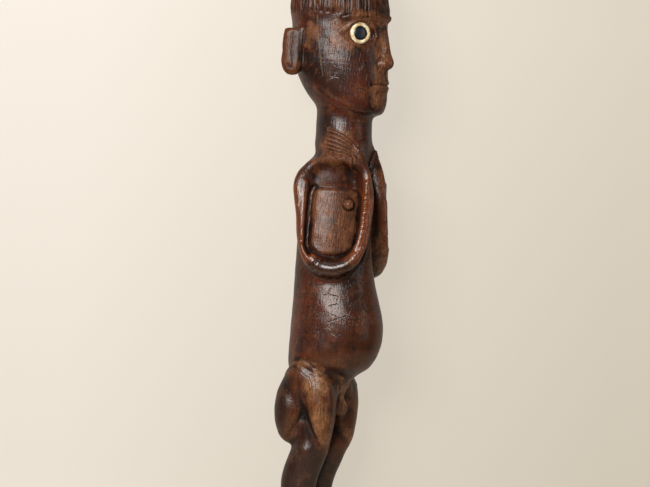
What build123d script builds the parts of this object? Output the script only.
"""A standing carved ancestor figure: one block of dense red-brown wood, with a ring of bone and a
disc of black volcanic glass bedded in each eye socket.

Millimetres. +Z is up, the figure faces -Y and its left side is at +X. The origin is on the plane of
the soles, at the middle of the figure's width and depth. Places are written as (side, forward,
height): side is + to the figure's left, and forward is + to its front. The forms are worked out for
the right side, where side is negative, and mirrored to the left.
"""

from build123d import *
from math import cos, pi, radians, sin
import os

# ---------------------------------------------------------------- heights
leg_length = 90.0  # sole to groin
torso_length = 122.0  # groin to the root of the neck
neck_length = 22.0  # root of the neck to the underside of the jaw
head_height = 86.0  # underside of the jaw to the crown
stance_shift = 0.3  # brings the middle of the depth over the origin

# ---------------------------------------------------------------- trunk
hip_half_width = 19.0
belly_half_width = 21.3
belly_half_depth = 26.2
belly_forward = 9.2
chest_half_width = 18.4
chest_half_depth = 21.5
chest_forward = 4.6
shoulder_half_width = 19.5
neck_half_width = 14.4
neck_half_depth = 15.8
neck_forward = 3.2

# ---------------------------------------------------------------- chest panels, in the arm loops
panel_width = 26.0
panel_height = 37.5
panel_corner = 7.0
recess_depth = 3.0  # the chest inside an arm's loop is sunk this far
recess_margin = 4.5  # the recess is this much wider than its panel on each side
recess_rise = 14.0  # and reaches this far above it, under the shoulder
panel_stand = 2.4  # a panel's face stands this far above the floor of its recess
panel_turn = 60.0  # degrees from the figure's front to the middle of a panel
panel_shift = -1.6  # a panel's middle lies this far to the front of that line
panel_drop = 37.0  # root of the neck to the middle of a panel
nipple_radius = 3.0
nipple_root = 8.0  # where the nipple starts, inside the trunk
nipple_top = 17.4  # the trunk's upright axis to the flat of the nipple
nipple_shift = 6.2  # from the panel's middle towards the front
nipple_rise = 10.0  # from the panel's middle upwards

# ---------------------------------------------------------------- arms
shoulder_radius = 4.2
upper_arm_radius = 4.5
elbow_radius = 5.3
forearm_radius = 3.1
wrist_radius = 3.1
hand_radius = 3.6
finger_radius = 1.35
finger_count = 5
finger_pitch = 2.5  # from the middle of one finger to the next, up the neck

# ---------------------------------------------------------------- legs
leg_spread = 8.8  # middle of the figure to the middle of each ankle
thigh_spread = 11.8  # middle of the figure to the middle of each thigh
thigh_half_width = 9.4
thigh_half_depth = 12.0
calf_half_width = 7.6
calf_half_depth = 11.0
ankle_half_width = 6.2
ankle_half_depth = 7.2
foot_half_width = 7.2
foot_length = 29.0
buttock_half_width = 9.8
buttock_half_depth = 10.2
buttock_half_height = 20.0
hip_half_width = 10.2
hip_half_depth = 13.8

# ---------------------------------------------------------------- head
head_half_width = 22.0
head_half_depth = 27.0
head_back_set = 5.0  # the skull's middle lies this far behind the middle of the stance
jaw_half_width = 16.0
hair_thickness = 1.6
hair_ridges = 26
hair_ridge_height = 0.9
nose_half_width = 5.2
nose_length = 22.0
nose_stand = 7.0  # the tip of the nose stands this far above the face
lip_half_width = 8.0
lip_radius = 1.9
ear_height = 27.0
ear_half_width = 6.6
ear_half_thickness = 2.4
ear_turn = 18.0  # degrees that the ear's back edge stands out from the head

# ---------------------------------------------------------------- eye inlays
ring_radius = 5.8
ring_bore_radius = 3.9
ring_depth = 4.0
ring_chamfer = 0.6
ring_stand = 0.7  # the ring stands this far proud of the floor of its socket
pupil_thickness = 2.0
pupil_inset = 0.7  # the glass lies this far below the ring's lip
inlay_gap = 0.05  # clearance all round each inlay
socket_half_width = 9.6
socket_half_height = 7.4
socket_depth = 3.4
eye_side = 12.6
eye_forward = 15.5
eye_turn = 38.0  # degrees that each eye looks outwards

# ---------------------------------------------------------------- heights worked out
groin_z = leg_length
neck_root_z = groin_z + torso_length
jaw_z = neck_root_z + neck_length
crown_z = jaw_z + head_height
skull_top_z = crown_z - hair_thickness
eye_z = jaw_z + 0.5 * head_height
mouth_z = jaw_z + 0.19 * head_height

# ---------------------------------------------------------------- the knife's flats
BODY_FLATS = 28  # flats round the trunk and the head
LIMB_FLATS = 16  # flats round a leg
ARM_FLATS = 12
SMALL_FLATS = 8


def place(side, forward, height):
    """The point in the part's own axes."""
    return Vector(side, stance_shift - forward, height)


def eased(rows, steps):
    """The rows with others worked out between them, on a smooth curve through all."""
    last = len(rows) - 1
    finer = []
    for index in range(last):
        before = rows[max(index - 1, 0)]
        start = rows[index]
        end = rows[index + 1]
        after = rows[min(index + 2, last)]
        for step in range(steps):
            t = step / steps
            row = []
            for a, b, c, d in zip(before, start, end, after):
                bend = (2 * a - 5 * b + 4 * c - d) * t**2 + (3 * b - a - 3 * c + d) * t**3
                row.append(0.5 * (2 * b + (c - a) * t + bend))
            finer.append(tuple(row))
    finer.append(rows[last])
    return finer


def outline(centre, across, along, flats, taper=0.0, ridge=0.0):
    """A closed section of flats. Taper narrows its front and widens its back, and ridge lifts
    every second corner."""
    corners = []
    for step in range(flats):
        turn = 2 * pi * (step + 0.5) / flats
        lift = 1 + ridge * (step % 2)
        spread = sin(turn) * (1 - taper * cos(turn)) * lift
        corners.append(centre + across * spread + along * (cos(turn) * lift))
    return Wire.make_polygon(corners, close=True)


def stack(rows, flats, steps=2, turn=0.0, ridge=0.0):
    """A solid through level sections. A row is (height, forward, half_width, half_depth, taper,
    side), and turn swings each section about its own middle."""
    sideways = Vector(1, 0, 0).rotate(Axis.Z, turn)
    ahead = Vector(0, -1, 0).rotate(Axis.Z, turn)
    sections = []
    for height, forward, half_width, half_depth, taper, side in eased(rows, steps):
        centre = place(side, forward, height)
        lift = ridge / half_width
        across = sideways * half_width
        sections.append(outline(centre, across, ahead * half_depth, flats, taper, lift))
    return Solid.make_loft(sections, True)


def egg(side, forward, height, half_width, half_depth, half_height, flats, levels=7):
    """A rounded lobe on an upright axis."""
    rows = []
    for level in range(levels):
        turn = pi * (level + 0.5) / levels
        size = sin(turn)
        z = height - half_height * cos(turn)
        rows.append((z, forward, half_width * size, half_depth * size, 0.0, side))
    return stack(rows, flats, 1)


def limb(rows, flats, steps, outwards):
    """A rounded limb along a smooth path. A row is (side, forward, height, radius, root), where
    root is how far the limb reaches back from outwards, into the body that carries it."""
    stations = eased(rows, steps)
    last = len(stations) - 1
    sections = []
    for index, (side, forward, height, radius, root) in enumerate(stations):
        here = place(side, forward, height)
        ahead = place(*stations[min(index + 1, last)][:3]) - place(*stations[max(index - 1, 0)][:3])
        ahead = ahead.normalized()
        out = outwards(here)
        out = (out - ahead * out.dot(ahead)).normalized()
        across = ahead.cross(out) * radius
        along = out * (radius + 0.5 * root)
        sections.append(outline(here - out * (0.5 * root), across, along, flats))
    return Solid.make_loft(sections, True)


def from_trunk(point):
    """Outwards from the upright axis through the middle of the chest."""
    return Vector(point.X, point.Y - (stance_shift - chest_forward), 0).normalized()


def both(shapes):
    """Shapes of the right side, with their mirror images on the left."""
    return shapes + [mirror(shape, about=Plane.YZ) for shape in shapes]


# ================================================================ trunk and neck
def torso():
    def at(share):
        return groin_z + share * torso_length

    belly_front = belly_forward - 0.6
    deep_chest = 0.95 * chest_half_depth
    yoke_depth = 0.84 * chest_half_depth
    neck_hw = neck_half_width + 0.4
    rows = [
        (at(-0.06), -2.0, 0.82 * hip_half_width, 13.0, 0, 0),
        (at(0.00), 0.0, hip_half_width, 16.0, 0, 0),
        (at(0.07), 6.2, 0.95 * belly_half_width, 0.88 * belly_half_depth, 0, 0),
        (at(0.18), belly_forward, belly_half_width, belly_half_depth, 0, 0),
        (at(0.30), belly_front, 0.98 * belly_half_width, 0.98 * belly_half_depth, 0, 0),
        (at(0.44), 5.8, 1.04 * chest_half_width, 1.06 * chest_half_depth, 0.10, 0),
        (at(0.60), chest_forward, chest_half_width, chest_half_depth, 0.22, 0),
        (at(0.78), 3.0, chest_half_width + 0.6, deep_chest, 0.22, 0),
        (at(0.90), 1.6, shoulder_half_width, yoke_depth, 0.12, 0),
        (at(0.97), 2.2, 0.86 * shoulder_half_width, neck_half_depth + 0.6, 0.05, 0),
        (at(1.02), neck_forward - 0.3, neck_hw, neck_half_depth, 0, 0),
    ]
    return stack(rows, BODY_FLATS)


def neck():
    top_hw = neck_half_width - 0.6
    top_hd = neck_half_depth - 0.8
    rows = [
        (neck_root_z - 8.0, neck_forward, neck_half_width, neck_half_depth, 0, 0),
        (neck_root_z + 0.4 * neck_length, neck_forward, neck_half_width, neck_half_depth, 0, 0),
        (jaw_z + 8.0, neck_forward - 1.5, top_hw, top_hd, 0, 0),
    ]
    return stack(rows, BODY_FLATS)


def panel_window(mirrored):
    """The plane through the trunk that faces one chest panel, with x towards the front."""
    sign = 1 if mirrored else -1
    turned = radians(panel_turn)
    facing = Vector(sign * sin(turned), -cos(turned), 0)
    across = Vector(-sign * cos(turned), -sin(turned), 0)
    middle = place(0, chest_forward, neck_root_z - panel_drop) + across * panel_shift
    return Plane(origin=middle, x_dir=across, z_dir=facing)


def window_block(window, width, height, corner):
    """A rounded block on one window, from the trunk's axis out past its skin."""
    return extrude(window * RectangleRounded(width, height, corner), chest_half_depth + 10.0)


def recess(trunk, mirrored):
    """What is cut from the trunk inside one arm's loop, up to the hollow under the shoulder."""
    window = panel_window(mirrored)
    width = panel_width + 2 * recess_margin
    height = panel_height + recess_margin + recess_rise
    middle = window * Pos(0, 0.5 * (recess_rise - recess_margin))
    block = window_block(middle, width, height, 1.6 * panel_corner)
    return block - trunk.moved(Location(window.z_dir * -recess_depth))


def chest_panel(trunk, mirrored):
    """The raised panel with its nipple, on the floor of the recess."""
    window = panel_window(mirrored)
    block = window_block(window, panel_width, panel_height, panel_corner)
    panel = (trunk.moved(Location(window.z_dir * (panel_stand - recess_depth))) & block).solid()
    spot = window * Pos(nipple_shift, nipple_rise, 0.5 * (nipple_root + nipple_top))
    nipple = spot * Cylinder(nipple_radius, nipple_top - nipple_root)
    return [panel, nipple.solid()]


# ================================================================ arms
def chest_point(side_share, forward_share, drop):
    """A place by the chest: shares of its half sizes, and a drop from the root of the neck."""
    forward = chest_forward + forward_share * chest_half_depth
    return (side_share * chest_half_width, forward, neck_root_z - drop)


def shoulder():
    """The rim that closes the right arm's loop over the shoulder."""
    rows = [
        (*chest_point(-0.45, 0.82, 6.5), 0.75 * wrist_radius, 3.0),
        (*chest_point(-0.68, 0.34, 3.4), shoulder_radius - 0.6, 3.0),
        (*chest_point(-0.77, -0.20, 4.0), shoulder_radius, 3.0),
        (*chest_point(-0.88, -0.48, 8.0), shoulder_radius, 3.0),
    ]
    return limb(rows, ARM_FLATS, 2, from_trunk)


def arm():
    """The right arm: down from the shoulder, round the elbow and up to the hand at the neck."""
    rows = [
        (*chest_point(-0.84, -0.40, 6.5), shoulder_radius - 0.4, 3.0),
        (*chest_point(-1.02, -0.62, 12.5), shoulder_radius, 3.0),
        (*chest_point(-1.13, -0.63, 20.0), upper_arm_radius, 3.0),
        (*chest_point(-1.17, -0.46, 34.0), upper_arm_radius, 4.0),
        (*chest_point(-1.19, -0.36, 48.5), upper_arm_radius, 4.0),
        (*chest_point(-1.16, -0.10, 58.0), elbow_radius, 3.0),
        (*chest_point(-1.08, 0.29, 62.4), elbow_radius, 2.0),
        (*chest_point(-0.92, 0.75, 60.0), elbow_radius - 0.5, 3.0),
        (*chest_point(-0.70, 1.03, 50.5), forearm_radius + 0.4, 5.0),
        (*chest_point(-0.51, 1.07, 36.0), forearm_radius, 6.0),
        (*chest_point(-0.39, 1.03, 22.0), forearm_radius, 6.0),
        (*chest_point(-0.40, 0.88, 10.0), wrist_radius, 5.5),
        (*chest_point(-0.44, 0.76, 4.0), wrist_radius - 0.3, 4.0),
        (*chest_point(-0.45, 0.59, -6.0), 0.45 * wrist_radius, 3.0),
    ]
    return limb(rows, ARM_FLATS, 2, from_trunk)


def hand():
    """The back of the right hand, from the wrist to the roots of the fingers."""
    rows = [
        (*neck_point(24.0, -9.0), wrist_radius, 2.0),
        (*neck_point(40.0, -4.0), hand_radius, 2.0),
        (*neck_point(62.0, 1.0), 0.6 * hand_radius, 2.0),
    ]
    return limb(rows, ARM_FLATS, 2, from_trunk)


def neck_point(turn, lift):
    """A place on the neck's skin: degrees from its front to its right, and height above its root."""
    side = -neck_half_width * sin(radians(turn))
    forward = neck_forward + neck_half_depth * cos(radians(turn))
    return (side, forward, neck_root_z + lift)


def fingers():
    """The right hand's fingers, side by side from the wrist round the side of the neck."""
    made = []
    for count in range(finger_count):
        rise = count * finger_pitch
        rows = [
            (*neck_point(26.0, 0.20 * rise - 7.0), finger_radius, 1.0),
            (*neck_point(54.0, 0.70 * rise - 2.0), finger_radius, 1.0),
            (*neck_point(82.0, 0.95 * rise), finger_radius, 1.0),
            (*neck_point(112.0, rise + 0.5), 0.8 * finger_radius, 1.0),
        ]
        made.append(limb(rows, SMALL_FLATS - 2, 2, from_trunk))
    return made


# ================================================================ legs
def leg():
    """The right leg, from the flat sole to the hip. Its upper end is narrow, so that the lobes of
    the buttock and the thigh stand clear of it."""
    foot_middle = 0.5 * foot_length - 11.0
    instep = 0.5 * foot_length
    knee_spread = leg_spread + 0.6
    waist = calf_half_width - 0.2
    rows = [
        (0.0, foot_middle, foot_half_width, instep, 0, -leg_spread),
        (0.045 * leg_length, foot_middle, foot_half_width, instep - 0.3, 0, -leg_spread),
        (0.09 * leg_length, foot_middle - 2.0, ankle_half_width + 0.9, instep - 3.0, 0, -leg_spread),
        (0.15 * leg_length, -1.8, ankle_half_width, ankle_half_depth, 0, -leg_spread),
        (0.34 * leg_length, -1.2, calf_half_width - 0.3, calf_half_depth - 0.5, 0, -leg_spread),
        (0.42 * leg_length, -0.6, calf_half_width, calf_half_depth, 0, -leg_spread),
        (0.53 * leg_length, 3.0, calf_half_width + 0.3, calf_half_depth + 0.2, 0, -knee_spread),
        (0.63 * leg_length, 5.6, calf_half_width + 0.3, calf_half_depth - 0.4, 0, -knee_spread),
        (0.74 * leg_length, 4.6, waist, thigh_half_depth - 1.5, 0, -knee_spread),
        (0.92 * leg_length, 2.0, waist - 0.2, thigh_half_depth, 0, -knee_spread),
        (1.06 * leg_length, 2.0, waist - 0.4, thigh_half_depth, 0, -knee_spread),
    ]
    return stack(rows, LIMB_FLATS)


def hip():
    """The block at the right hip, whose edge makes one arch over the thigh's two lobes."""
    spread = -thigh_spread + 0.6
    rows = [
        (groin_z + 9.5, 1.0, 0.84 * hip_half_width, 0.44 * hip_half_depth, 0, spread),
        (groin_z + 7.0, 0.4, 0.95 * hip_half_width, 0.72 * hip_half_depth, 0, spread),
        (groin_z + 2.0, -0.2, hip_half_width, 0.95 * hip_half_depth, 0, spread),
        (groin_z - 5.0, -0.4, 0.98 * hip_half_width, hip_half_depth, 0, spread),
        (groin_z - 12.0, 0.0, 0.80 * hip_half_width, 0.72 * hip_half_depth, 0, spread),
        (groin_z - 17.0, 0.0, 0.50 * hip_half_width, 0.40 * hip_half_depth, 0, spread),
    ]
    return stack(rows, LIMB_FLATS, 1)


def buttock():
    height = groin_z - 16.0
    sizes = (buttock_half_width, buttock_half_depth, buttock_half_height)
    return egg(-thigh_spread, -7.2, height, *sizes, LIMB_FLATS)


def thigh_front():
    """The long drop at the front of the right thigh, which leans forward to a point at the knee."""
    rows = [
        (groin_z + 7.0, 5.0, 0.40 * thigh_half_width, 0.30 * thigh_half_depth, 0, -thigh_spread),
        (groin_z + 4.0, 6.4, 0.85 * thigh_half_width, 0.62 * thigh_half_depth, 0, -thigh_spread),
        (groin_z - 3.0, 8.4, thigh_half_width, 0.76 * thigh_half_depth, 0, -thigh_spread),
        (groin_z - 12.0, 10.0, thigh_half_width, 0.73 * thigh_half_depth, 0, -thigh_spread),
        (groin_z - 21.0, 11.8, 0.88 * thigh_half_width, 0.56 * thigh_half_depth, 0, -thigh_spread),
        (groin_z - 29.0, 13.2, 0.70 * thigh_half_width, 0.38 * thigh_half_depth, 0, -thigh_spread),
        (groin_z - 36.0, 14.2, 0.34 * thigh_half_width, 0.14 * thigh_half_depth, 0, -thigh_spread),
    ]
    return stack(rows, LIMB_FLATS, 1)


def groin_boss():
    """The small plain boss between the thighs, on a root that flares into the belly."""
    root = stack(
        [
            (groin_z - 13.0, 13.0, 3.0, 4.0, 0, 0),
            (groin_z - 4.0, 12.0, 4.2, 6.0, 0, 0),
            (groin_z + 6.0, 12.0, 9.0, 13.0, 0, 0),
        ],
        SMALL_FLATS,
    )
    return [root, egg(0, 16.0, groin_z - 14.0, 4.2, 4.6, 5.6, ARM_FLATS)]


# ================================================================ head
def skull_rows(grow, top_z):
    def at(share):
        return jaw_z + share * (top_z - jaw_z)

    back = -head_back_set
    hw = head_half_width + grow
    hd = head_half_depth + grow
    return [
        (at(0.00), back + 13.5, 0.80 * jaw_half_width, 16.0, 0.10, 0),
        (at(0.05), back + 10.8, jaw_half_width, 20.4, 0.14, 0),
        (at(0.15), back + 7.2, 1.18 * jaw_half_width, 24.2, 0.18, 0),
        (at(0.30), back + 3.2, 0.97 * hw, 0.99 * hd, 0.15, 0),
        (at(0.50), back + 0.6, hw, hd, 0.10, 0),
        (at(0.68), back - 1.0, hw, hd, 0.06, 0),
        (at(0.82), back - 1.6, 0.90 * hw, 0.90 * hd, 0, 0),
        (at(0.92), back - 2.0, 0.72 * hw, 0.72 * hd, 0, 0),
        (at(0.98), back - 2.0, 0.42 * hw, 0.42 * hd, 0, 0),
        (at(1.00), back - 2.0, 0.12 * hw, 0.12 * hd, 0, 0),
    ]


def skull():
    return stack(skull_rows(0.0, skull_top_z), BODY_FLATS)


def hair():
    """The hair: a cap of narrow ridges combed up to the crown, above a line that drops a
    little towards the back."""
    rows = skull_rows(hair_thickness - hair_ridge_height, crown_z)[4:]
    cap = stack(rows, 2 * hair_ridges, 1, 0.0, hair_ridge_height)
    line = Plane(origin=place(0, 0, eye_z + 0.12 * head_height), z_dir=Vector(0, 0.10, 1))
    return split(cap, bisect_by=line, keep=Keep.TOP)


def nose():
    tip_z = eye_z + 4.0 - nose_length
    face = 24.0
    rows = [
        (eye_z + 6.0, face - 2.6, 0.50 * nose_half_width, 2.6, 0, 0),
        (eye_z + 1.0, face - 1.6, 0.48 * nose_half_width, 0.36 * nose_stand, 0, 0),
        (eye_z - 0.45 * nose_length, face, 0.62 * nose_half_width, 0.60 * nose_stand, 0, 0),
        (tip_z + 5.0, face, 0.90 * nose_half_width, 0.92 * nose_stand, 0.3, 0),
        (tip_z + 2.0, face - 0.4, nose_half_width, nose_stand, 0.3, 0),
        (tip_z, face - 1.0, 0.90 * nose_half_width, 0.80 * nose_stand, 0.3, 0),
    ]
    return stack(rows, SMALL_FLATS + 2)


def lip(rise, radius):
    """One lip, across the mouth from corner to corner."""
    rows = []
    for share in (-1.0, -0.6, 0.0, 0.6, 1.0):
        forward = 26.2 - 4.2 * share**2
        swell = radius * (1 - 0.55 * share**2)
        height = mouth_z + rise * (1 - abs(share) ** 3)
        rows.append((share * lip_half_width, forward, height, swell, 1.0))
    return limb(rows, SMALL_FLATS, 1, from_trunk)


def brow():
    """The brow ridge over the right eye, from the nose out to the temple."""
    rows = [
        (0.5, 21.0, eye_z + 7.6, 2.0, 2.0),
        (-7.0, 19.6, eye_z + 9.6, 2.3, 2.0),
        (-14.5, 14.8, eye_z + 9.8, 2.2, 2.0),
        (-20.0, 6.5, eye_z + 7.0, 1.7, 2.0),
    ]
    return limb(rows, SMALL_FLATS, 2, from_trunk)


def chin():
    return egg(0, 20.6, jaw_z + 6.6, 8.6, 6.2, 6.2, ARM_FLATS, 5)


def ear():
    """The right ear: an upright slab, flat at the top, with a heavy rounded lobe."""
    low = eye_z - 25.8
    side = -head_half_width
    thick = ear_half_thickness
    wide = ear_half_width
    rows = [
        (low, -19.6, 0.5 * thick, 0.40 * wide, 0, side),
        (low + 0.09 * ear_height, -19.8, 1.0 * thick, 0.80 * wide, 0, side - 0.3),
        (low + 0.25 * ear_height, -20.2, 1.2 * thick, wide, 0, side - 0.5),
        (low + 0.50 * ear_height, -20.6, 0.9 * thick, 0.92 * wide, 0, side - 0.3),
        (low + 0.80 * ear_height, -21.0, 0.9 * thick, wide, 0, side),
        (low + 0.96 * ear_height, -21.0, 0.8 * thick, 0.96 * wide, 0, side),
        (low + ear_height, -21.0, 0.5 * thick, 0.86 * wide, 0, side),
    ]
    return stack(rows, ARM_FLATS, 1, ear_turn)


def eye_face(mirrored):
    """The plane of the right ring's outer face, or of the left one's, looking out of the head."""
    sign = 1 if mirrored else -1
    out = Vector(sign * sin(radians(eye_turn)), -cos(radians(eye_turn)), 0)
    flat = Vector(cos(radians(eye_turn)), sign * sin(radians(eye_turn)), 0)
    return Plane(origin=place(sign * eye_side, eye_forward, eye_z), x_dir=flat, z_dir=out)


def socket(mirrored):
    """What is cut for one eye: a dished socket, and the bore that takes the ring."""
    face = eye_face(mirrored)
    sections = []
    for rise, spread in ((-ring_stand, 0.84), (0.35 * socket_depth, 1.0), (socket_depth + 4.0, 1.3)):
        centre = face.origin + face.z_dir * rise
        across = face.x_dir * (socket_half_width * spread)
        along = face.y_dir * (socket_half_height * spread)
        sections.append(outline(centre, across, along, LIMB_FLATS + 2))
    dish = Solid.make_loft(sections, True)
    bore_depth = ring_depth + inlay_gap
    bore = face.offset(-bore_depth) * Cylinder(
        ring_radius + inlay_gap, bore_depth, align=(Align.CENTER, Align.CENTER, Align.MIN)
    )
    return [dish, bore]


# ================================================================ eye inlays
def disc(face, low, high, radius):
    """A plain disc on the eye's axis, from one depth to another."""
    low_face = face.offset(low)
    return low_face * Cylinder(radius, high - low, align=(Align.CENTER, Align.CENTER, Align.MIN))


def eye_ring(mirrored):
    face = eye_face(mirrored)
    ring = disc(face, -ring_depth, 0, ring_radius) - disc(face, -ring_depth, 0, ring_bore_radius)
    rims = ring.edges().filter_by(GeomType.CIRCLE).sort_by(Axis(face.origin, face.z_dir))[-2:]
    return chamfer(rims.sort_by(SortBy.RADIUS)[-1], ring_chamfer)


def eye_pupil(mirrored):
    """The polished disc of glass, down inside the ring."""
    back = -pupil_inset - pupil_thickness
    return disc(eye_face(mirrored), back, -pupil_inset, ring_bore_radius - inlay_gap)


def eye_bedding(mirrored):
    """The gum that fills the ring's bore behind the glass."""
    face = eye_face(mirrored)
    top = -pupil_inset - pupil_thickness - inlay_gap
    return disc(face, -ring_depth, top, ring_bore_radius - inlay_gap)


# ================================================================ the block of wood
def carved_trunk():
    """The trunk, recessed inside the arms' loops, with panels, arms, hands and fingers."""
    trunk = torso()
    hollows = [recess(trunk, mirrored) for mirrored in (False, True)]
    panels = chest_panel(trunk, False) + chest_panel(trunk, True)
    arms = both([shoulder(), arm(), hand(), *fingers()])
    return trunk.cut(*hollows).fuse(neck(), *panels, *arms)


def carved_legs():
    """Both legs, which the groin boss and its root join in the middle."""
    root, boss = groin_boss()
    return root.fuse(boss, *both([leg(), hip(), buttock(), thigh_front()]))


def carved_head():
    """The head with its features, and the two sockets cut for the inlays."""
    lips = [lip(1.7, lip_radius), lip(-1.5, lip_radius)]
    head = skull().fuse(chin(), nose(), *lips, hair(), *both([brow(), ear()]))
    return head.cut(*socket(False), *socket(True))


def carved_figure():
    return carved_trunk().fuse(carved_legs(), carved_head())


if __name__ == "__main__":
    os.makedirs("parts", exist_ok=True)
    export_step(carved_figure(), "parts/carved_figure.step")
    for mirrored, hand_name in ((False, "right"), (True, "left")):
        export_step(eye_ring(mirrored), f"parts/eye_ring_{hand_name}.step")
        export_step(eye_pupil(mirrored), f"parts/eye_pupil_{hand_name}.step")
        export_step(eye_bedding(mirrored), f"parts/eye_bedding_{hand_name}.step")
